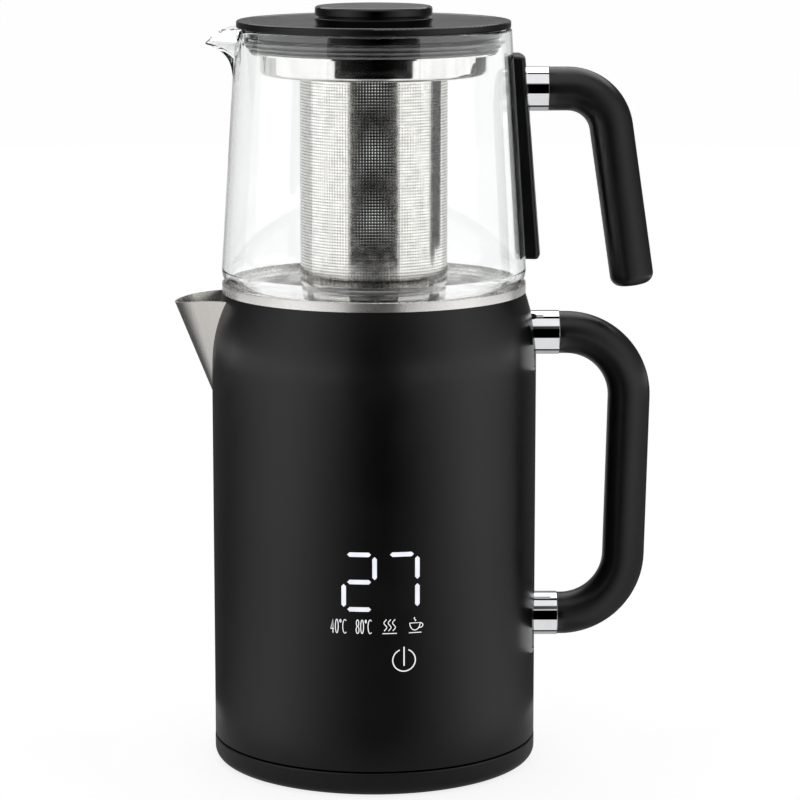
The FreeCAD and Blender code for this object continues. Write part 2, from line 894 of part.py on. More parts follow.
def make_heater():
    """The spreader plate below the pot and the sheathed element under it."""
    body = new_body("heater_plate")
    turn(body, [
        ("0", "pot_foot - heater_thickness"),
        ("heater_radius", "pot_foot - heater_thickness", "round", "0.8"),
        ("heater_radius", "pot_foot"),
        ("0", "pot_foot"),
    ])
    body = new_body("heating_element")
    level = "pot_foot - heater_thickness - element_tube"
    profile = circles(body, "XZ_Plane", [("element_circle", level)], "element_tube")
    feature(
        body, "Revolution", profile,
        ReferenceAxis=(profile, ["V_Axis"]), Angle="320", Midplane=True,
    )
    ends = [
        (f"element_circle * cos({turned})", f"element_circle * sin({turned})")
        for turned in (158, -158)
    ]
    rod_z(body, ends, "terminal_radius", "pot_foot - 17", "12")


def make_temperature_sensor():
    body = new_body("temperature_sensor")
    spot = [("22", "14")]
    rod_z(body, spot, "sensor_radius", "pot_foot - heater_thickness - 5", "5")
    rod_z(body, spot, "sensor_radius + 2.5", "pot_foot - heater_thickness - 1", "1")


def make_thermal_cutouts():
    """Two bimetal discs in one clip on the spreader plate."""
    body = new_body("thermal_cutouts")
    spots = [("24", "-14"), ("8", "-27")]
    rod_z(body, spots, "cutout_radius", "pot_foot - heater_thickness - 4", "4")
    rod_z(body, spots, "cutout_radius * 0.4", "pot_foot - heater_thickness - 5.5", "2")


def make_control_board():
    """The power board in the front of the underside, with relay, buzzer and coil."""
    body = new_body("control_board")
    board = draw(body, "XY_Plane", [
        ("-board_half_width", "-board_back"),
        ("-board_half_width", "-board_corner", "arc", "board_curve"),
        ("board_half_width", "-board_corner"),
        ("board_half_width", "-board_back"),
    ], "control_level")
    feature(body, "Pad", board, Length="board_thickness")
    top = "control_level + board_thickness"
    for outline, height in (
        (box_outline("-34", "-16", "-54", "-40", "1"), "9"),
        (box_outline("12", "30", "-52", "-36", "1"), "8"),
    ):
        feature(body, "Pad", draw(body, "XY_Plane", outline, top), Length=height)
    rod_z(body, [("-2", "-46")], "6", top, "5")
    rod_z(body, [("4", "-60")], "3.5", top, "7")


def make_display_board():
    """The upright board behind the front of the shell."""
    body = new_body("display_board")
    profile = draw(body, "XZ_Plane", box_outline(
        "-display_half_width", "display_half_width", "display_foot", "display_top", "2",
    ), "display_depth")
    feature(body, "Pad", profile, Length="board_thickness")


# Across and height of the four marks under the digits and of the power mark.
TOUCH_PLACES = [(across, "touch_row") for across in ("-17.4", "-5.4", "6.9", "19")]
TOUCH_PLACES.append(("14", "power_mark"))
BOARD_FRONT = "(display_depth + board_thickness)"


def make_light_guide():
    """The block that carries the digits' light to the curved shell."""
    body = new_body("light_guide")
    front = f"({SHELL_INSIDE} - 0.3)"
    edge = f"-sqrt({front}^2 - display_half_width^2)"
    profile = draw(body, "XY_Plane", [
        ("-display_half_width", edge, "arc", front),
        ("display_half_width", edge),
        ("display_half_width", f"-{BOARD_FRONT} - 0.1"),
        ("-display_half_width", f"-{BOARD_FRONT} - 0.1"),
    ], "display_foot + 2")
    feature(body, "Pad", profile, Length="display_top - display_foot - 4")
    holes = circles(body, "XZ_Plane", TOUCH_PLACES, "touch_radius + 0.4", "90")
    feature(body, "Pocket", holes, Length="40")


def make_touch_springs():
    """One sprung contact behind each touch mark."""
    body = new_body("touch_springs")
    start = f"{BOARD_FRONT} + 0.05"
    for across, height in TOUCH_PLACES:
        reach = f"sqrt(({SHELL_INSIDE} - 0.1)^2 - (abs({across}) + touch_radius)^2)"
        profile = circles(body, "XZ_Plane", [(across, height)], "touch_radius", start)
        feature(body, "Pad", profile, Length=f"{reach} - ({start})")


# ---------------------------------------------------------------- steam tray

def make_steam_tray():
    """The loose dished tray in the kettle's mouth, with a ring of steam holes."""
    body = new_body("steam_tray")
    floor = "tray_level - tray_depth"
    turn(body, [
        ("tray_flange", "tray_level"),
        ("tray_flange", "tray_level + sheet - 0.2"),
        ("tray_mouth", "tray_level + sheet - 0.2", "round", "0.8"),
        ("tray_dish + 1.2", f"{floor} + 0.6", "round", "1.6"),
        ("0", f"{floor} - 0.8"),
        ("0", f"{floor} - 1.4"),
        ("tray_dish + 1.6", floor, "round", "1.8"),
        ("tray_mouth + 0.3", "tray_level", "round", "0.3"),
    ])
    spot = [("steam_circle", "0")]
    hole = rod_z(body, spot, "steam_hole", "tray_level + 3", "12", "Pocket")
    polar(body, hole, 8)


# ---------------------------------------------------------------- glass teapot

GLASS_TAPER = "(glass_low_radius - glass_rim_radius) / (glass_rim - heel_level)"


def glass_radius(height, outward="0"):
    """The glass pot's outer radius at a height above its heel."""
    return f"(glass_low_radius - ({height} - heel_level) * {GLASS_TAPER} + {outward})"


# Height, reach from the axis and rounding of the pouring lip's outline.
LIP_SECTIONS = [
    ("lip_root", "glass_rim_radius + 1.2", "0.9"),
    ("lip_root + 9", "glass_rim_radius + 4.9", "2.2"),
    ("lip_root + 15", "glass_rim_radius + 9", "3"),
    ("lip_root + 19", "glass_rim_radius + 16.5", "4"),
    ("lip_root + 27.5", "glass_rim_radius + 37", "6"),
]


def make_glass_pot():
    """The tapered pot with a rounded heel and a drawn pouring lip."""
    body = new_body("glass_pot")
    inside_low = "glass_low_radius - glass_wall"
    inside_rim = "glass_rim_radius - glass_wall"
    turn(body, [
        ("0", "glass_foot"),
        ("glass_low_radius - heel_radius", "glass_foot", "arc", "heel_radius"),
        ("glass_low_radius", "heel_level"),
        ("glass_rim_radius", "glass_rim", "round", "1.1"),
        (inside_rim, "glass_rim", "round", "1.1"),
        (inside_low, "heel_level", "arc", "-(heel_radius - glass_wall + 0.3)"),
        (f"{inside_low} - heel_radius + glass_wall", "glass_foot + glass_floor"),
        ("0", "glass_foot + glass_floor"),
    ])
    back = "glass_rim_radius - 1.2"
    for kind, inset, rear in (
        ("AdditiveLoft", "0", back),
        ("SubtractiveLoft", "lip_wall", "50"),
    ):
        sections = [
            draw(
                body, "XY_Plane",
                vee(
                    f"{reach} - {inset} * 2.2", rear, "lip_slope",
                    f"{rounding} - {inset} * 0.3",
                ),
                height,
            )
            for height, reach, rounding in LIP_SECTIONS
        ]
        loft(body, kind, sections, ruled=False)
    droop = draw(body, "XZ_Plane", [
        ("-glass_rim_radius + 0.6", "glass_rim + 0.05", "arc", "20"),
        ("-lip_tip", "lip_level"),
        ("-lip_tip", "lip_level - 14"),
        ("-lip_tip - 20", "lip_level - 14"),
        ("-lip_tip - 20", "glass_rim + 5"),
        ("-glass_rim_radius + 0.6", "glass_rim + 5"),
    ])
    feature(body, "Pocket", droop, Length="60", Midplane=True)


def make_back_plate():
    """The upright plate behind the handle and the clear bond that holds it."""
    top, foot = "back_plate_top", "back_plate_foot"
    body = new_body("handle_plate")
    turn(body, [
        (glass_radius(foot, "bond_gap"), foot),
        (glass_radius(foot, "back_plate_thick + bond_gap"), foot, "round", "1.8"),
        (glass_radius(top, "back_plate_thin + bond_gap"), top, "round", "2.4"),
        (glass_radius(top, "bond_gap"), top),
    ], angle="back_plate_angle", midplane=True)

    def upright(edge):
        bounds = edge.BoundBox
        return bounds.ZLength > 80 and bounds.XMax > value("glass_low_radius + 4")

    fillet(body, "1.6", upright)
    rod_x(body, "teapot_arm", "handle_screw_hole", "60", "30", "Pocket", True)
    body = new_body("handle_bond")
    turn(body, [
        (glass_radius(f"({foot} + 1.5)", "0.02"), f"{foot} + 1.5"),
        (glass_radius(f"({foot} + 1.5)", "bond_gap - 0.02"), f"{foot} + 1.5"),
        (glass_radius(f"({top} - 1.5)", "bond_gap - 0.02"), f"{top} - 1.5"),
        (glass_radius(f"({top} - 1.5)", "0.02"), f"{top} - 1.5"),
    ], angle="back_plate_angle - 1.5", midplane=True)


def plate_depth(height):
    """How far the handle plate's outer face stands off the glass at a height."""
    rise = f"(back_plate_top - ({height})) / (back_plate_top - back_plate_foot)"
    growth = f"(back_plate_thick - back_plate_thin) * {rise}"
    return f"(back_plate_thin + {growth} + bond_gap + 0.02)"


def make_teapot_ferrule():
    """The ring between the teapot's handle and its plate."""
    body = make_ferrule(
        "teapot_ferrule", "teapot_arm", "teapot_ferrule_start - 3", "teapot_ferrule_end"
    )
    high, low = "(teapot_arm + 20)", "(teapot_arm - 20)"
    turn(body, [
        ("0", low),
        (glass_radius(low, plate_depth(low)), low),
        (glass_radius(high, plate_depth(high)), high),
        ("0", high),
    ], "Groove")


def make_teapot_grip():
    """The open-ended handle: out, round a bend and down to a rounded end."""
    body = new_body("teapot_grip")
    path = [
        ("teapot_ferrule_end", "teapot_arm"),
        ("teapot_corner", "teapot_arm", "round", "teapot_bend"),
        ("teapot_grip_end", "teapot_grip_foot"),
    ]
    pipe(body, "teapot_tube", "YZ_Plane", ("0", "teapot_arm"), path, "teapot_ferrule_end")

    def at_tip(edge):
        return edge.BoundBox.ZMax < value("teapot_grip_foot + 4")

    fillet(body, "5", at_tip)
    root = "teapot_ferrule_start + 2.5"
    rod_x(body, "teapot_arm", "spigot_radius", root, f"teapot_ferrule_end - ({root})")
    rod_x(body, "teapot_arm", "handle_screw + 0.1", "70", "26", "Pocket", True)


def make_teapot_screw():
    """The screw that draws the teapot's handle against its plate."""
    body = new_body("teapot_screw")
    start = "teapot_ferrule_start - 2.6"
    rod_x(body, "teapot_arm", "handle_screw", start, "teapot_screw_length")


# ---------------------------------------------------------------- infuser

def make_infuser_wall():
    """The long perforated cylinder, shown here as its plain sheet."""
    body = new_body("infuser_wall")
    turn(body, box_outline(
        "basket_radius - basket_wall", "basket_radius",
        "basket_foot + cup_height", "funnel_foot + 0.8",
    ))


def make_infuser_cup():
    """The pressed cup that closes the cylinder, with rings of drain holes."""
    body = new_body("infuser_cup")
    inside = "basket_radius - basket_wall"
    top = "basket_foot + cup_height"
    turn(body, [
        ("0", "basket_foot"),
        ("basket_radius", "basket_foot", "round", "3.2"),
        ("basket_radius", top),
        (inside, top),
        (inside, "basket_foot + basket_wall", "round", "2.6"),
        ("0", "basket_foot + basket_wall"),
    ])
    for reach, count in (("9", 6), ("18", 12), ("27", 18)):
        spot = [(reach, "0")]
        hole = rod_z(body, spot, "drain_hole", "basket_foot - 1", "4", "Pocket", True)
        polar(body, hole, count)


def make_infuser_collar():
    """The stepped steel funnel that carries the cylinder, with a flange."""
    body = new_body("infuser_collar")
    outer, thin = "funnel_radius", "sheet"
    turn(body, [
        ("basket_radius + 0.02", "funnel_foot"),
        (outer, "funnel_foot", "round", "2.2"),
        (outer, "funnel_top"),
        ("seal_radius - 1.0", "funnel_top"),
        ("seal_radius - 1.0", f"funnel_top + {thin}"),
        (f"{outer} + 1.6", f"funnel_top + {thin}"),
        (f"{outer} + 1.6", "seal_top - 0.6"),
        (f"{outer} + 0.8", "seal_top - 0.6"),
        (f"{outer} + 0.8", f"funnel_top + {thin}"),
        (f"{outer} - {thin}", f"funnel_top + {thin}"),
        (f"{outer} - {thin}", f"funnel_foot + {thin}", "round", "1.4"),
        ("basket_radius + 0.02", f"funnel_foot + {thin}"),
    ])


def make_infuser_seal():
    """The soft ring round the flange: three lips with grooves between them."""
    body = new_body("infuser_seal")
    inner = "funnel_radius + 1.7"
    turn(body, [
        (inner, "seal_foot"),
        ("seal_radius - 0.3", "seal_foot"),
        ("seal_radius", "seal_foot + 1.0"),
        ("seal_radius - 1.4", "seal_foot + 1.3"),
        ("seal_radius - 1.2", "seal_foot + 1.9"),
        ("seal_radius + 1.0", "seal_foot + 2.1"),
        ("seal_radius + 1.5", "seal_foot + 3.0"),
        ("seal_radius + 0.2", "seal_foot + 3.3"),
        ("seal_radius + 0.4", "seal_foot + 4.0"),
        ("seal_lip - 0.4", "seal_foot + 4.3"),
        ("seal_lip", "seal_top", "round", "0.4"),
        (inner, "seal_top"),
    ])


# ---------------------------------------------------------------- teapot lid

def make_lid_cover():
    """The dished lid with a beaded rim that rests on the glass."""
    body = new_body("lid_cover")
    underside = "dish_level - 2.2"
    turn(body, [
        ("2.3", "dish_level"),
        ("50", "dish_level", "round", "20"),
        ("lid_radius - 3.2", "lid_top - 0.4", "round", "1.0"),
        ("lid_radius - 2.2", "lid_top", "round", "0.5"),
        ("lid_radius", "lid_top", "round", "0.9"),
        ("lid_radius", "lid_foot", "round", "0.6"),
        ("plug_radius - 0.2", "lid_foot"),
        ("plug_radius - 0.2", underside),
        ("2.3", underside),
    ])


def make_lid_plug():
    """The cup under the lid that drops into the glass rim."""
    body = new_body("lid_plug")
    inside = "plug_radius - 2"
    turn(body, [
        ("0", "plug_foot"),
        ("plug_radius", "plug_foot", "round", "1.2"),
        ("plug_radius", "dish_level - 2.2"),
        (inside, "dish_level - 2.2"),
        (inside, "plug_foot + 1.2"),
        ("0", "plug_foot + 1.2"),
    ])


def make_knob():
    """The knob's foot ring, the wide cap above its groove, and their screw."""
    body = new_body("knob_foot")
    turn(body, [
        ("2.3", "dish_level"),
        ("knob_radius - 0.5", "dish_level"),
        ("knob_radius + 0.5", "knob_foot_top", "round", "0.4"),
        ("2.3", "knob_foot_top"),
    ])
    body = new_body("knob_cap")
    turn(body, [
        ("2.1", "knob_foot_top"),
        ("knob_neck", "knob_foot_top"),
        ("knob_neck", "knob_foot_top + 1"),
        ("knob_radius", "knob_foot_top + 1", "round", "0.5"),
        ("knob_radius", "knob_top", "round", "1.4"),
        ("0", "knob_top"),
        ("0", "knob_foot_top + 3"),
        ("2.1", "knob_foot_top + 3"),
    ])
    body = new_body("lid_screw")
    rod_z(body, [("0", "0")], "2.0", "dish_level - 4", "9.5")
    rod_z(body, [("0", "0")], "4.5", "dish_level - 4", "1.7")


def make_all():
    make_base_cover()
    make_base_plate()
    make_foot_ring()
    make_base_screws()
    make_base_socket()
    make_socket_contacts()
    make_cord_gland()
    make_coupler()
    make_coupler_contacts()
    make_outer_shell()
    make_inner_pot()
    make_pot_gasket()
    make_top_collar()
    make_kettle_spout()
    make_spout_duct()
    make_spout_strainer()
    make_kettle_ferrules()
    make_kettle_grip()
    make_handle_screws()
    make_bottom_housing()
    make_housing_screws()
    make_heater()
    make_temperature_sensor()
    make_thermal_cutouts()
    make_control_board()
    make_display_board()
    make_light_guide()
    make_touch_springs()
    make_steam_tray()
    make_glass_pot()
    make_back_plate()
    make_teapot_ferrule()
    make_teapot_grip()
    make_teapot_screw()
    make_infuser_wall()
    make_infuser_cup()
    make_infuser_collar()
    make_infuser_seal()
    make_lid_cover()
    make_lid_plug()
    make_knob()


def check_and_write():
    """Stop on any failed object, then write each sub-part's STEP file."""
    document.recompute()
    for item in document.Objects:
        if "Invalid" in item.State or "Error" in item.State:
            raise RuntimeError(f"{item.Label} failed: {item.State}")
    os.makedirs("parts", exist_ok=True)
    for body in sub_parts:
        if body.Shape.isNull() or not body.Shape.isValid() or not body.Shape.Solids:
            raise RuntimeError(f"{body.Label} has no valid solid")
    for body in sub_parts:
        body.Shape.exportStep(os.path.join("parts", f"{body.Label}.step"))
        volume = body.Shape.Volume / 1000
        print(f"{body.Label:20s} {len(body.Shape.Solids)} solids {volume:9.2f} cm3")


make_all()
check_and_write()
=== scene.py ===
"""Looks of a two-tier electric tea maker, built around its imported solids.

Sizes are in millimetres and become metres where they meet Blender. +Z is up, +X the
side of the handles, -X that of the spouts, and -Y the front with the display.
"""
import json
import math

import bmesh
import bpy
from mathutils import Matrix, Vector


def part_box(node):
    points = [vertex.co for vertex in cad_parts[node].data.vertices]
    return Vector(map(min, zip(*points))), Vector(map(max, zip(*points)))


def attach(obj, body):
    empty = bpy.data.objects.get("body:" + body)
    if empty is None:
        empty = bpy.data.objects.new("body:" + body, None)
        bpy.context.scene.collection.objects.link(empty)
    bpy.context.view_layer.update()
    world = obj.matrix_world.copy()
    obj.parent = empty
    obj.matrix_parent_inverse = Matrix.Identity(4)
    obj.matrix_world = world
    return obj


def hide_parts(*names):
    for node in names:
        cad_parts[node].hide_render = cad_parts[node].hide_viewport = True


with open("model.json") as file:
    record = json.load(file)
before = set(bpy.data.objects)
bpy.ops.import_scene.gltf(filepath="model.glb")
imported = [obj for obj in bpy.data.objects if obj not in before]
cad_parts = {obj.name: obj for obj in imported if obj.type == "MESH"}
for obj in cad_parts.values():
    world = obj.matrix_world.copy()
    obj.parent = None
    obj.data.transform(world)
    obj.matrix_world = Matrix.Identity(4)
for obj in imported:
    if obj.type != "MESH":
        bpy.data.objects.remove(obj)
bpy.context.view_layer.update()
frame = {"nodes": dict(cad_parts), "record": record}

MM = 0.001
nodes = frame["nodes"]


# ------------------------------------------------------------------ materials

def srgb(hex_code):
    """The linear colour of an sRGB hex value, with full alpha."""
    channels = [int(hex_code[i:i + 2], 16) / 255 for i in (1, 3, 5)]
    linear = [c / 12.92 if c <= 0.04045 else ((c + 0.055) / 1.055) ** 2.4 for c in channels]
    return (*linear, 1.0)


def add(tree, kind, inputs=None, feeds=None, **settings):
    """Add a shader node with its settings and links.

    An input is a value or another node's output; feeds names an output of the new node
    and the socket that it drives.
    """
    made = tree.nodes.new(f"ShaderNode{kind}")
    for name, setting in settings.items():
        setattr(made, name, setting)
    for socket, given in (inputs or {}).items():
        if isinstance(given, bpy.types.NodeSocket):
            tree.links.new(given, made.inputs[socket])
        else:
            made.inputs[socket].default_value = given
    for output, socket in (feeds or {}).items():
        tree.links.new(made.outputs[output], socket)
    return made


def start_material(name, **uniform):
    """A new material with its Principled shader and its object coordinates.

    What is the same all over the surface is set on the shader's own sockets.
    """
    material = bpy.data.materials.new(name)
    material.use_nodes = True
    tree = material.node_tree
    tree.nodes.clear()
    shader = add(tree, "BsdfPrincipled")
    add(tree, "OutputMaterial", {"Surface": shader.outputs["BSDF"]})
    for socket, setting in uniform.items():
        shader.inputs[socket.replace("_", " ")].default_value = setting
    return material, tree, shader, add(tree, "TexCoord").outputs["Object"]


def per_mm(size):
    """The scale of a pattern whose features are this many millimetres across."""
    return 1 / (size * MM)


def surface(name, dark, light, rough, cloud, relief=None, stretch=(1, 1, 1), **uniform):
    """A finish whose colour and roughness drift over a cloud some millimetres across.

    rough is the lowest and the highest roughness. relief is the width and the height in
    millimetres of the fine grain that the making leaves. stretch draws both out along
    an axis, as brushing does.
    """
    material, tree, shader, place = start_material(name, **uniform)
    drawn = add(tree, "Mapping", {"Vector": place, "Scale": stretch}).outputs["Vector"]
    noise = add(tree, "TexNoise", {"Vector": drawn, "Scale": per_mm(cloud), "Detail": 2.0})
    drift = add(tree, "MapRange", {
        "Value": noise.outputs["Fac"], "From Min": 0.35, "From Max": 0.65,
    }).outputs["Result"]
    add(tree, "Mix", {0: drift, 6: srgb(dark), 7: srgb(light)},
        {2: shader.inputs["Base Color"]}, data_type="RGBA")
    add(tree, "MapRange", {"Value": drift, "To Min": rough[0], "To Max": rough[1]},
        {"Result": shader.inputs["Roughness"]})
    if relief:
        width, height = relief
        grain = add(tree, "TexNoise", {"Vector": drawn, "Scale": per_mm(width), "Detail": 2.0})
        add(tree, "Bump", {"Height": grain.outputs["Fac"], "Distance": height * MM},
            {"Normal": shader.inputs["Normal"]})
    return material


def powder_coat():
    """Satin black powder coat: a fine, even orange peel that widens each highlight."""
    return surface("black_powder_coat", "#060606", "#090909", (0.30, 0.34), 14,
                   (0.7, 0.006), IOR=1.5)


def moulded_black():
    """Moulded black ABS with a spark-eroded texture, a little duller than the coat."""
    return surface("moulded_black_abs", "#070707", "#0B0B0B", (0.34, 0.40), 9,
                   (0.4, 0.008), IOR=1.5)


def soft_touch():
    """Soft-touch lacquer on the handles: a velvety grain and broad, even highlights."""
    return surface("soft_touch_lacquer", "#040404", "#070707", (0.32, 0.36), 6,
                   (0.3, 0.003), IOR=1.48)


def satin_lid():
    """Satin polypropylene of the lid: smoother than the body, with faint flow clouds."""
    return surface("satin_black_polypropylene", "#080808", "#0C0C0C", (0.22, 0.27), 12,
                   IOR=1.49)


def gloss_knob():
    """Polished black ABS of the knob and the plug: deep black with sharp highlights."""
    return surface("polished_black_abs", "#030303", "#060606", (0.10, 0.14), 16, IOR=1.5)


def inner_plastic():
    """Heat-resistant polyamide of the parts inside, dark grey and matt."""
    return surface("heat_resistant_polyamide", "#1E1E20", "#262629", (0.45, 0.55), 5,
                   (0.5, 0.01), IOR=1.53)


def brushed_steel():
    """Brushed stainless sheet: fine upright lines that draw each highlight out."""
    return surface("brushed_stainless", "#D8D5D0", "#DEDBD6", (0.24, 0.29), 1.2,
                   stretch=(1, 1, 0.02), Metallic=1.0)


def satin_steel():
    """Satin-polished stainless of the collar: a soft, wide sheen with no sharp mirror."""
    return surface("satin_stainless", "#E6E4E1", "#F0EEEB", (0.24, 0.29), 6, Metallic=1.0)


def funnel_steel():
    """Drawn stainless of the funnel: bright, in soft upright bands from the polishing."""
    return surface("drawn_stainless", "#C2C1BE", "#D3D2CF", (0.06, 0.10), 7,
                   stretch=(1, 1, 0.05), Metallic=1.0)


def mesh_steel():
    """Etched stainless foil: even and satin, a little darker and smoother than sheet."""
    return surface("etched_stainless", "#CBC9C5", "#DAD8D4", (0.14, 0.20), 3, Metallic=1.0)


def bright_steel():
    """Polished stainless: near a mirror, with faint turning lines round the axis."""
    return surface("polished_stainless", "#DAD8D3", "#E6E4E0", (0.05, 0.10), 3,
                   stretch=(0.05, 0.05, 1), Metallic=1.0)


def tray_steel():
    """Pressed stainless: bright, with the soft waviness that the press leaves."""
    return surface("pressed_stainless", "#CFCCC6", "#E0DDD8", (0.08, 0.14), 9,
                   (24, 0.02), Metallic=1.0)


def chrome():
    """Bright chrome plate on the handle rings: a clean mirror with a cold tone."""
    return surface("bright_chrome", "#E4E5E7", "#ECEDEF", (0.02, 0.04), 10, Metallic=1.0)


def cast_aluminium():
    """Cast aluminium of the spreader plate and the element's sheath: grey, granular."""
    return surface("cast_aluminium", "#9C9DA0", "#B4B5B8", (0.4, 0.55), 2, (0.8, 0.03),
                   Metallic=1.0)


def sprung_brass():
    """Rolled brass of the contacts: warm, slightly tarnished in patches."""
    return surface("sprung_brass", "#A98545", "#C29C57", (0.25, 0.35), 1.5, Metallic=1.0)


def zinc_plate():
    """Zinc-plated screws: bluish grey with a crystalline bloom."""
    return surface("zinc_plated_steel", "#9EA1A4", "#B7BABD", (0.25, 0.4), 1, (0.4, 0.01),
                   Metallic=1.0)


def glass():
    """Borosilicate glass: clear, smooth, with a trace of draw lines along the wall."""
    material, tree, shader, place = start_material(
        "borosilicate_glass", Base_Color=srgb("#FCFDFD"), Transmission_Weight=1.0, IOR=1.47,
    )
    drawn = add(tree, "Mapping", {"Vector": place, "Scale": (1, 1, 0.25)})
    waves = add(tree, "TexNoise", {"Vector": drawn.outputs["Vector"], "Scale": per_mm(22)})
    add(tree, "MapRange", {"Value": waves.outputs["Fac"], "To Max": 0.012},
        {"Result": shader.inputs["Roughness"]})
    return material


def clear_bond():
    """Cured optical silicone between glass and plate: clear, a little hazy."""
    return surface("clear_bond", "#A5A7A9", "#B9BBBD", (0.15, 0.25), 9,
                   IOR=1.41, Transmission_Weight=0.6)


def grey_silicone():
    """Grey silicone rubber: an even mid grey with the clear shine of a polished mould."""
    return surface("grey_silicone", "#6E6E6D", "#7A7A79", (0.10, 0.15), 5, IOR=1.55)


def black_rubber():
    """Filled black rubber of the foot and the gland, with a dry, blotchy surface."""
    return surface("black_rubber", "#131313", "#1B1B1B", (0.65, 0.8), 4, (0.6, 0.02), IOR=1.52)


def circuit_board():
    """Green solder mask over copper: glossy, with tracks just raised under it."""
    material, tree, shader, place = start_material("solder_mask", Roughness=0.25, IOR=1.5)
    tracks = add(tree, "TexBrick", {
        "Vector": place, "Color1": srgb("#0E4A26"), "Color2": srgb("#0C4121"),
        "Mortar": srgb("#17653A"), "Scale": per_mm(8), "Mortar Size": 0.04,
    }, {"Color": shader.inputs["Base Color"]})
    add(tree, "Bump", {"Height": tracks.outputs["Fac"], "Distance": 0.03 * MM},
        {"Normal": shader.inputs["Normal"]})
    return material


def frosted_acrylic():
    """White diffusing acrylic of the light guide: matt, with a moulded flow."""
    return surface("frosted_acrylic", "#D8DADC", "#ECEEF0", (0.55, 0.65), 3, IOR=1.49)


def lit_mark(name, colour, strength, dimming):
    """Light through a fine etched opening: a little uneven, in soft random patches some
    millimetres across.
    """
    material, tree, shader, place = start_material(
        name, Base_Color=srgb("#202020"), Roughness=0.5, Emission_Color=srgb(colour),
    )
    cloud = add(tree, "TexNoise", {"Vector": place, "Scale": per_mm(6), "Detail": 0.0})
    add(tree, "MapRange", {
        "Value": cloud.outputs["Fac"], "From Min": 0.3, "From Max": 0.7,
        "To Min": strength * (1 - dimming), "To Max": strength,
    }, {"Result": shader.inputs["Emission Strength"]})
    return material


def make_materials():
    """Every finish, by the name of its material slot in the record or by one of its own."""
    return {
        "black_coating": powder_coat(),
        "black_plastic": moulded_black(),
        "handle_plastic": soft_touch(),
        "lid_plastic": satin_lid(),
        "knob_plastic": gloss_knob(),
        "inner_plastic": inner_plastic(),
        "brushed_steel": brushed_steel(),
        "satin_steel": satin_steel(),
        "funnel_steel": funnel_steel(),
        "mesh_steel": mesh_steel(),
        "bright_steel": bright_steel(),
        "tray_steel": tray_steel(),
        "chrome_ring": chrome(),
        "clear_glass": glass(),
        "clear_bond": clear_bond(),
        "grey_silicone": grey_silicone(),
        "black_rubber": black_rubber(),
        "aluminium": cast_aluminium(),
        "brass": sprung_brass(),
        "circuit_board": circuit_board(),
        "light_guide": frosted_acrylic(),
        "screw_steel": zinc_plate(),
        "digits": lit_mark("lit_digits", "#F4F5FF", 1.05, 0.12),
        "labels": lit_mark("lit_labels", "#F2F3F6", 1.15, 0.1),
    }


def dress(piece, material):
    """Give a piece one material on all its faces."""
    piece.data.materials.clear()
    piece.data.materials.append(material)


# Solids that look different from the rest of their record's material slot.
OWN_FINISHES = {
    "kettle_grip": "handle_plastic",
    "teapot_grip": "handle_plastic",
    "handle_plate": "lid_plastic",
    "lid_cover": "lid_plastic",
    "knob_cap": "knob_plastic",
    "knob_foot": "knob_plastic",
    "lid_plug": "knob_plastic",
    "steam_tray": "tray_steel",
    "infuser_collar": "funnel_steel",
    "infuser_cup": "bright_steel",
    "top_collar": "satin_steel",
}


def dress_cad_nodes(materials):
    """Each solid takes its slot's finish, or one of its own."""
    for part in frame["record"]["subparts"]:
        finish = OWN_FINISHES.get(part["node"], part["material_slot"])
        dress(nodes[part["node"]], materials[finish])


# ------------------------------------------------------------------ new pieces

HOLES_AROUND = 39          # in a quarter of the cylinder
HOLE_PITCH = 1.41
HOLE_RADIUS = 0.40
MESH_SHEET = 0.5           # thickness of the foil


def new_piece(name, sheet, material):
    """Turn a bmesh into an object of one material."""
    mesh = bpy.data.meshes.new(name)
    sheet.to_mesh(mesh)
    sheet.free()
    piece = bpy.data.objects.new(name, mesh)
    bpy.context.scene.collection.objects.link(piece)
    dress(piece, material)
    return piece


def finish_piece(name, sheet, material, body, smooth=True):
    """Turn a bmesh into a named piece that rides on a body."""
    piece = new_piece(name, sheet, material)
    for face in piece.data.polygons:
        face.use_smooth = smooth
    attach(piece, body)
    return piece


def is_hole_middle(corner, across, upright, rows):
    """Whether a corner of the half-pitch grid is the middle of a hole's cell."""
    column = round((corner.x / across + 0.5) * 2 * HOLES_AROUND)
    line = round((corner.y / upright + 0.5) * 2 * rows)
    return column % 2 == 1 and line % 2 == 1


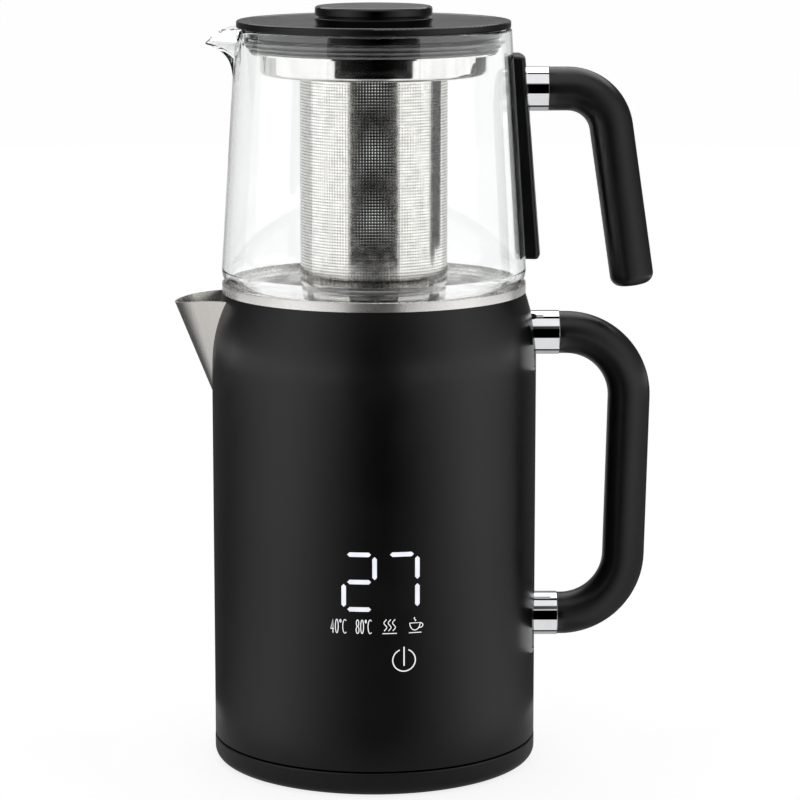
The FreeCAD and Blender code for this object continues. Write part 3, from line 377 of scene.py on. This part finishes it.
def infuser_mesh(materials):
    """The infuser's etched cylinder: rows of fine round holes, made in four quarters."""
    low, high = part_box("infuser_wall")
    across, upright = HOLE_PITCH * MM * HOLES_AROUND, high.z - low.z
    rows = round(upright / (HOLE_PITCH * MM))
    for quarter in range(4):
        sheet = bmesh.new()
        # A grid one metre wide, with two cells to each pitch, before it is scaled.
        bmesh.ops.create_grid(
            sheet, x_segments=2 * HOLES_AROUND, y_segments=2 * rows, size=0.5,
        )
        bmesh.ops.scale(sheet, vec=(across, upright, 1), verts=sheet.verts[:])
        middles = [v for v in sheet.verts if is_hole_middle(v.co, across, upright, rows)]
        bmesh.ops.dissolve_verts(sheet, verts=middles)
        centres = bmesh.ops.poke(sheet, faces=sheet.faces[:])["verts"]
        holes = bmesh.ops.bevel(
            sheet, geom=centres, offset=HOLE_RADIUS * MM, offset_type="OFFSET",
            affect="VERTICES", segments=1, profile=0.5, material=-1,
        )
        bmesh.ops.delete(sheet, geom=holes["faces"], context="FACES")
        for vertex in sheet.verts:
            angle = math.radians(90) * (quarter + 0.5 + vertex.co.x / across)
            height = (low.z + high.z) / 2 + vertex.co.y
            vertex.co = (high.x * math.cos(angle), high.x * math.sin(angle), height)
        bmesh.ops.recalc_face_normals(sheet, faces=sheet.faces[:])
        bmesh.ops.solidify(sheet, geom=sheet.faces[:], thickness=MESH_SHEET * MM)
        piece = finish_piece(f"infuser_mesh_{quarter + 1}", sheet, materials["mesh_steel"],
                             "infuser", smooth=False)
        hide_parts("infuser_wall")


# ------------------------------------------------------------------ display

# A mark is sketched flat, with x across the front and z up, then bent round the shell.
SHELL_RADIUS = 77.5
MARK_PROUD = 0.03          # how far a mark stands off the shell
SLICE = 1.0                # widest strip of a mark between two bends

READING = "27"
DIGIT_LOW = 90.35          # middle of the lowest bar
DIGIT_HIGH = 116.2         # middle of the highest bar
DIGIT_WIDTH = 14.27        # between the middles of the upright bars
DIGIT_PITCH = 19.76
DIGIT_LEFT = -14.2
DIGIT_PLATE = 0.1          # thickness
SEGMENT = 2.1              # width of a digit's bar
SEGMENTS_OF = {"2": "abged", "7": "abc"}
POINT_ACROSS = 1.64        # how far a level bar's point stays off the corner
POINT_UP = 1.05            # the same for an upright bar

LABEL_FOOT = 78.9
LABEL_HEIGHT = 6.5
LABEL_STROKE = 0.44
LABEL_WIDTHS = (1.35, 1.35, 0.55, 1.7)     # two figures, the degree ring and the C
LABEL_GAP = 0.75
DEGREE_HALF = 0.7          # half the height of the degree ring

STEAM_BAR = 6.6
WAVE_FIRST = 1.3           # from the bar's left end to the first wave
WAVE_PITCH = 2.0
WAVE_SWING = 0.65
WAVE_FOOT = 1.2            # above the bar
WAVE_HEIGHT = 5.5
WAVE_TURNS = 1.3
WAVE_LAG = 0.15            # in turns
WAVE_STEPS = 20

POWER_MIDDLE = (13.66, 66.0)
POWER_RADIUS = 5.25
POWER_GAP = 22             # degrees to each side of the bar
POWER_BAR = (-2.7, 6.35)   # its ends, from the ring's middle
POWER_STROKE = 0.6


def wrap_on_shell(sketch, proud):
    """Cut a flat mark into upright strips and bend it round the shell, its face out."""
    edge = max(abs(v.co.x) for v in sketch.verts)
    cut = -edge
    while cut < edge:
        cut += SLICE * MM
        geometry = sketch.verts[:] + sketch.edges[:] + sketch.faces[:]
        bmesh.ops.bisect_plane(sketch, geom=geometry, plane_co=(cut, 0, 0), plane_no=(1, 0, 0))
    for vertex in sketch.verts:
        depth = (SHELL_RADIUS + proud) * MM - vertex.co.y
        vertex.co.y = -math.sqrt(depth ** 2 - vertex.co.x ** 2)


def bar(sketch, start, end, width):
    """A flat bar with pointed ends, as a display segment has."""
    start, end = Vector((start[0], 0, start[1])), Vector((end[0], 0, end[1]))
    along = (end - start).normalized() * width / 2
    side = Vector((-along.z, 0, along.x))
    corners = (start, start + along + side, end - along + side,
               end, end - along - side, start + along - side)
    sketch.faces.new([sketch.verts.new(c * MM) for c in corners])


def digit(sketch, figure, left):
    """One seven-segment figure."""
    right, middle = left + DIGIT_WIDTH, (DIGIT_LOW + DIGIT_HIGH) / 2
    across = (left + POINT_ACROSS, right - POINT_ACROSS)
    lower = (DIGIT_LOW + POINT_UP, middle - POINT_UP)
    upper = (middle + POINT_UP, DIGIT_HIGH - POINT_UP)
    ends = {
        "a": [(x, DIGIT_HIGH) for x in across],
        "g": [(x, middle) for x in across],
        "d": [(x, DIGIT_LOW) for x in across],
        "b": [(right, z) for z in upper],
        "c": [(right, z) for z in lower],
        "e": [(left, z) for z in lower],
    }
    for name in SEGMENTS_OF[figure]:
        bar(sketch, *ends[name], SEGMENT)


def close_mark(sketch):
    """Turn laid faces into a thin closed plate."""
    bmesh.ops.recalc_face_normals(sketch, faces=sketch.faces[:])
    if sum(f.normal.y for f in sketch.faces) > 0:
        bmesh.ops.reverse_faces(sketch, faces=sketch.faces[:])
    bmesh.ops.solidify(sketch, geom=sketch.faces[:], thickness=DIGIT_PLATE * MM)


def make_digits(materials):
    """The two large figures, as one piece."""
    sketch = bmesh.new()
    for place, figure in enumerate(READING):
        digit(sketch, figure, DIGIT_LEFT + place * DIGIT_PITCH)
    wrap_on_shell(sketch, MARK_PROUD)
    close_mark(sketch)
    finish_piece("display_digits", sketch, materials["digits"], "kettle", False)


def arc(centre, radii, start, end, count=16):
    """Points on an ellipse's arc, from one angle to another in degrees."""
    for i in range(count + 1):
        angle = math.radians(start + (end - start) * i / count)
        yield centre[0] + radii[0] * math.cos(angle), centre[1] + radii[1] * math.sin(angle)


def glyph(character, left, width):
    """The strokes of a narrow figure or sign of a label, as lists of points."""
    foot, height = LABEL_FOOT, LABEL_HEIGHT
    x_mid, z_mid, top = left + width / 2, foot + height / 2, foot + height
    if character == "4":
        stem, rung = left + width * 0.75, foot + height * 0.3
        return [[(stem, foot), (stem, top), (left, rung), (left + width, rung)]]
    if character == "0":
        return [list(arc((x_mid, z_mid), (width / 2, height / 2), 0, 360))]
    if character == "8":
        return [
            list(arc((x_mid, foot + height * 0.26), (width / 2, height * 0.26), 0, 360)),
            list(arc((x_mid, foot + height * 0.76), (width * 0.42, height * 0.24), 0, 360)),
        ]
    if character == "o":
        return [list(arc((x_mid, top - DEGREE_HALF), (width / 2, DEGREE_HALF), 0, 360, 10))]
    return [list(arc((left + width * 0.6, z_mid), (width * 0.6, height / 2), 55, 305))]


def label(figures, left):
    """A temperature such as 40 degrees C, as strokes."""
    strokes, cursor = [], left
    for character, width in zip((*figures, "o", "C"), LABEL_WIDTHS):
        strokes += glyph(character, cursor, width)
        cursor += width + LABEL_GAP
    return strokes


def steam_sign(left):
    """Three rising waves over a bar."""
    strokes = [[(left, LABEL_FOOT), (left + STEAM_BAR, LABEL_FOOT)]]
    for wave in range(3):
        middle = left + WAVE_FIRST + wave * WAVE_PITCH
        points = []
        for i in range(WAVE_STEPS + 1):
            turns = WAVE_TURNS * i / WAVE_STEPS - WAVE_LAG
            points.append((middle + WAVE_SWING * math.sin(math.tau * turns),
                           LABEL_FOOT + WAVE_FOOT + WAVE_HEIGHT * i / WAVE_STEPS))
        strokes.append(points)
    return strokes


def cup_sign(left):
    """A small cup on its saucer, with a handle and one wisp."""
    half, depth, rim = 2.4, 3.4, LABEL_FOOT + 4.6
    middle, right = left + half, left + 2 * half
    bowl = [(left, rim), *arc((middle, rim), (half, depth), 180, 360), (left, rim)]
    ear = list(arc((right, rim - 1.2), (1.3, 1.1), 100, -110, 10))
    wisp = [(middle + 0.4 * math.sin(math.tau * i / 10), rim + 0.8 + 1.8 * i / 10)
            for i in range(11)]
    saucer = [(left - 0.4, LABEL_FOOT), (right + 0.6, LABEL_FOOT)]
    return [bowl, ear, wisp, saucer]


def power_sign():
    """An open ring with a bar in its gap."""
    x, z = POWER_MIDDLE
    radii = (POWER_RADIUS, POWER_RADIUS)
    ring = list(arc(POWER_MIDDLE, radii, 90 + POWER_GAP, 450 - POWER_GAP, 40))
    return [ring, [(x, z + end) for end in POWER_BAR]]


def make_strokes(name, strokes, width, material):
    """Flat round-ended lines along the given points, laid on the shell."""
    curve = bpy.data.curves.new(name, "CURVE")
    curve.dimensions = "3D"
    curve.bevel_depth = width / 2 * MM
    curve.bevel_resolution = 1
    curve.use_fill_caps = True
    for points in strokes:
        spline = curve.splines.new("POLY")
        spline.points.add(len(points) - 1)
        for point, (x, z) in zip(spline.points, points):
            point.co = (x * MM, 0, z * MM, 1)
    holder = bpy.data.objects.new(name, curve)
    mesh = bpy.data.meshes.new_from_object(holder)
    bpy.data.objects.remove(holder)
    sketch = bmesh.new()
    sketch.from_mesh(mesh)
    flat = 2 * MARK_PROUD / width
    bmesh.ops.scale(sketch, vec=(1, flat, 1), verts=sketch.verts[:])
    wrap_on_shell(sketch, 0)
    bmesh.ops.recalc_face_normals(sketch, faces=sketch.faces[:])
    finish_piece(name, sketch, material, "kettle")


def make_display(materials):
    """The lit figures and signs that shine through the shell."""
    make_digits(materials)
    marks = (
        ("label_40", label("40", -20.2), LABEL_STROKE),
        ("label_80", label("80", -8.5), LABEL_STROKE),
        ("sign_steam", steam_sign(3.7), LABEL_STROKE),
        ("sign_cup", cup_sign(16.3), LABEL_STROKE),
        ("sign_power", power_sign(), POWER_STROKE),
    )
    for name, strokes, width in marks:
        make_strokes(name, strokes, width, materials["labels"])


# ------------------------------------------------------------------ studio

CAMERA_DISTANCE = 1550     # from the kettle's axis
CAMERA_HEIGHT = 451.7
CAMERA_PITCH = 10.132      # degrees below the level
CAMERA_YAW = 0.458         # degrees to the right
CAMERA_REACH = 100         # metres that it sees
FOCAL_PIXELS = 3280.6      # for an image IMAGE_PIXELS wide
IMAGE_PIXELS = 800
SENSOR = 36.0

# The floor, the wall and the cards are in metres.
FLOOR_REACH = 12
FLOOR_LIGHT = 0.82
WALL_REACH = 11.9
WALL_HEIGHT = 8.0
WALL_LIGHT = 0.98
ROOM_LIGHT = 0.28          # what is mirrored where no card stands

# Edges at which cards meet, as reach from the axis and height.
NEAR = (0.13, 0.003)       # by the kettle's foot
MIDDLE = (0.19, 0.093)
RING = (0.247, 0.178)      # from here to BAND is what the steel collar mirrors
BAND = (0.262, 0.2)
OVER = (0.50, 0.56)        # in front of the lid and above it
CROWN = (0.02, 1.2)        # straight above
BACK = (0.8, 0.8)
CARD_STEPS = 48
ROUND = 150                # degrees to each side that the body's cards reach
FRONT = 17                 # the same for the narrow cards in front
DARK = 36                  # the same for the black card that is mirrored inside the glass

DARK_MIDDLE = 4            # degrees that the darkest reflection stands off the front
GROW = (2, 64)             # degrees from it over which a fading card comes to its full light
SINK = (50, 114)           # degrees from it over which the card sinks again
SHARE_LEFT = 0.10          # of the light, past those

# The strips that a ring on a level tube mirrors: the light of each, and its two edges as
# millimetres behind the ring's axis and above it.
RING_STRIPS = (
    ("ahead", 0.0, (-16, 5.9), (-16, -3.7)),
    ("step", 0.85, (-16, -3.7), (-16, -16)),
    ("below", 0.85, (-16, -16), (-7.2, -16)),
    ("gap", 0.0, (-7.2, -16), (-4.4, -16)),
    ("behind", 0.45, (-4.4, -16), (35, -16)),
    ("over", 0.0, (-8.3, 16), (-6.3, 16)),
)
RING_RADIUS = 10.5
STRIP_LEFT = 74.5          # where the strips of the kettle's rings leave the shell
STRIP_MORE = 3             # how far the strips reach past a ring


def make_camera():
    """The camera, fitted to the whole object."""
    data = bpy.data.cameras.new("camera")
    data.sensor_width = SENSOR
    data.lens = SENSOR * FOCAL_PIXELS / IMAGE_PIXELS
    data.clip_end = CAMERA_REACH
    camera = bpy.data.objects.new("camera", data)
    camera.location = (0, -CAMERA_DISTANCE * MM, CAMERA_HEIGHT * MM)
    camera.rotation_euler = (math.radians(90 - CAMERA_PITCH), 0, -math.radians(CAMERA_YAW))
    bpy.context.scene.collection.objects.link(camera)
    bpy.context.scene.camera = camera


def stage_plane(name, corners, material):
    """A flat piece of the studio, through four corners in metres."""
    sheet = bmesh.new()
    sheet.faces.new([sheet.verts.new(c) for c in corners])
    piece = new_piece(name, sheet, material)
    return piece


def light_only(name, strength):
    """A surface that only gives light, so that its strength is what metal mirrors."""
    return start_material(
        name, Base_Color=srgb("#000000"), Specular_IOR_Level=0.0,
        Emission_Color=srgb("#FFFFFF"), Emission_Strength=strength,
    )


def show_only(card, seen):
    """Let a card be seen directly, in reflections, or only in what lies behind glass."""
    card.visible_camera = seen == "camera"
    card.visible_diffuse = False
    card.visible_shadow = False
    card.visible_glossy = seen == "glossy"
    card.visible_transmission = seen == "glass"


def fade_round(tree, place, front, full, socket):
    """Drive a strength that grows from the front to the sides and sinks behind them."""
    faced = add(tree, "Mapping", {
        "Vector": place, "Rotation": (0, 0, math.radians(90 - DARK_MIDDLE)),
    })
    around = add(tree, "TexGradient", {"Vector": faced.outputs["Vector"]},
                 gradient_type="RADIAL")
    signed = add(tree, "Math", {0: around.outputs["Fac"], 1: 0.5}, operation="SUBTRACT")
    away = add(tree, "Math", {0: signed.outputs[0]}, operation="ABSOLUTE").outputs[0]
    shares = []
    for (start, end), at_start, at_end in ((GROW, front, full), (SINK, 1.0, SHARE_LEFT)):
        shares.append(add(tree, "MapRange", {
            "Value": away, "From Min": start / 360, "From Max": end / 360,
            "To Min": at_start, "To Max": at_end,
        }, interpolation_type="SMOOTHSTEP").outputs["Result"])
    add(tree, "Math", {0: shares[0], 1: shares[1]}, {0: socket}, operation="MULTIPLY")


def make_card(name, strength, profile, start, end, seen="glossy", front=None):
    """A slanted card round the object, seen in only one way.

    The profile gives reach and height in metres. Angles are in degrees from the front.
    Where front is given, the strength fades from the full one to that one straight ahead.
    """
    material, tree, shader, place = light_only(name, strength)
    if front is not None:
        fade_round(tree, place, front, strength, shader.inputs["Emission Strength"])
    sheet = bmesh.new()
    points = [sheet.verts.new((0, -reach, height)) for reach, height in profile]
    edges = [sheet.edges.new(pair) for pair in zip(points, points[1:])]
    turned = Matrix.Rotation(math.radians(start), 4, "Z")
    bmesh.ops.transform(sheet, matrix=turned, verts=sheet.verts[:])
    bmesh.ops.spin(sheet, geom=points + edges, cent=(0, 0, 0), axis=(0, 0, 1),
                   angle=math.radians(end - start), steps=CARD_STEPS, use_duplicate=False)
    card = new_piece(name, sheet, material)
    show_only(card, seen)


def make_floor():
    """A white sweep that lights itself, so that it stays white; metal doesn't see it."""
    material = start_material(
        "white_sweep", Base_Color=srgb("#C8C8C8"), Roughness=0.9,
        Emission_Color=srgb("#FFFFFF"), Emission_Strength=FLOOR_LIGHT,
    )[0]
    corners = [(x * FLOOR_REACH, y * FLOOR_REACH, 0)
               for x, y in ((-1, -1), (1, -1), (1, 1), (-1, 1))]
    floor = stage_plane("floor", corners, material)
    floor.visible_glossy = False
    wall = [(WALL_REACH, 0.0), (WALL_REACH, WALL_HEIGHT)]
    make_card("backdrop", WALL_LIGHT, wall, 0, 360, "camera")


def make_room():
    """The even dim light all round, and the plain view of it."""
    world = bpy.data.worlds.new("studio_room")
    world.use_nodes = True
    background = world.node_tree.nodes["Background"]
    background.inputs["Color"].default_value = srgb("#FFFFFF")
    background.inputs["Strength"].default_value = ROOM_LIGHT
    bpy.context.scene.world = world
    bpy.context.scene.view_settings.view_transform = "Standard"


def make_reflected_cards():
    """What the coat and the bright rings mirror: dark in front, growing to both sides."""
    make_card("card_floor", 0.80, [NEAR, MIDDLE], -ROUND, ROUND, front=0.08)
    make_card("card_low", 0.92, [MIDDLE, RING], -ROUND, ROUND, front=0.0)
    make_card("card_high", 0.92, [BAND, OVER], -ROUND, ROUND, front=0.0)
    make_card("card_ring_front", 0.22, [RING, BAND], -FRONT, FRONT)
    for side in (-1, 1):
        make_card("card_ring_side", 1.3, [RING, BAND], side * FRONT, side * 112)
    make_card("card_overhead", 1.0, [(0.50, 0.62), (0.42, 0.95), CROWN], -75, 75)
    make_card("card_back_top", 2.0, [CROWN, (0.55, 1.0), BACK], 110, 250)
    make_card("card_back_low", 2.0, [BACK, (0.83, 0.72)], 130, 230)
    for side in (-1, 1):
        make_card("card_back_side", 0.6, [(0.83, 0.7), (0.9, 0.40)], side * 135, side * 160)
    make_card("card_back_floor", 0.55, [(0.12, 0.002), (3.0, 0.002)], 105, 255)


def make_ring_cards():
    """What the rings mirror: black ahead, white below, grey behind, a dark line above."""
    for node in ("upper_ferrule", "lower_ferrule", "teapot_ferrule"):
        low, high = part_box(node)
        left, right, axis = STRIP_LEFT * MM, high.x + STRIP_MORE * MM, high.z - RING_RADIUS * MM
        if node == "teapot_ferrule":
            left = low.x + 1 * MM
        for part, strength, near, far in RING_STRIPS:
            name = f"{node}_card_{part}"
            corners = [(x, behind * MM, axis + above * MM) for x, (behind, above) in
                       ((left, near), (right, near), (right, far), (left, far))]
            card = stage_plane(name, corners, light_only(name, strength)[0])
            show_only(card, "glossy")


def make_glass_cards():
    """What the steel inside the glass mirrors: hard-edged black and white."""
    make_card("glass_grey_low", 0.7, [NEAR, BAND], -FRONT, FRONT, "glass")
    make_card("glass_black_high", 0.0, [BAND, OVER], -DARK, DARK, "glass")
    for side, last in ((-1, 106), (1, 126)):
        make_card("glass_white_low", 1.6, [NEAR, BAND], side * FRONT, side * last, "glass")
        make_card("glass_white_high", 1.8, [BAND, OVER], side * DARK, side * last, "glass")
        make_card("glass_white_top", 1.6, [OVER, (0.6, 1.1)], side * 20, side * 110, "glass")
    make_card("glass_back", 1.5, [(0.9, 0.34), (0.9, 1.2)], 130, 230, "glass")


finishes = make_materials()
dress_cad_nodes(finishes)
infuser_mesh(finishes)
make_display(finishes)
make_camera()
make_floor()
make_room()
make_reflected_cards()
make_ring_cards()
make_glass_cards()
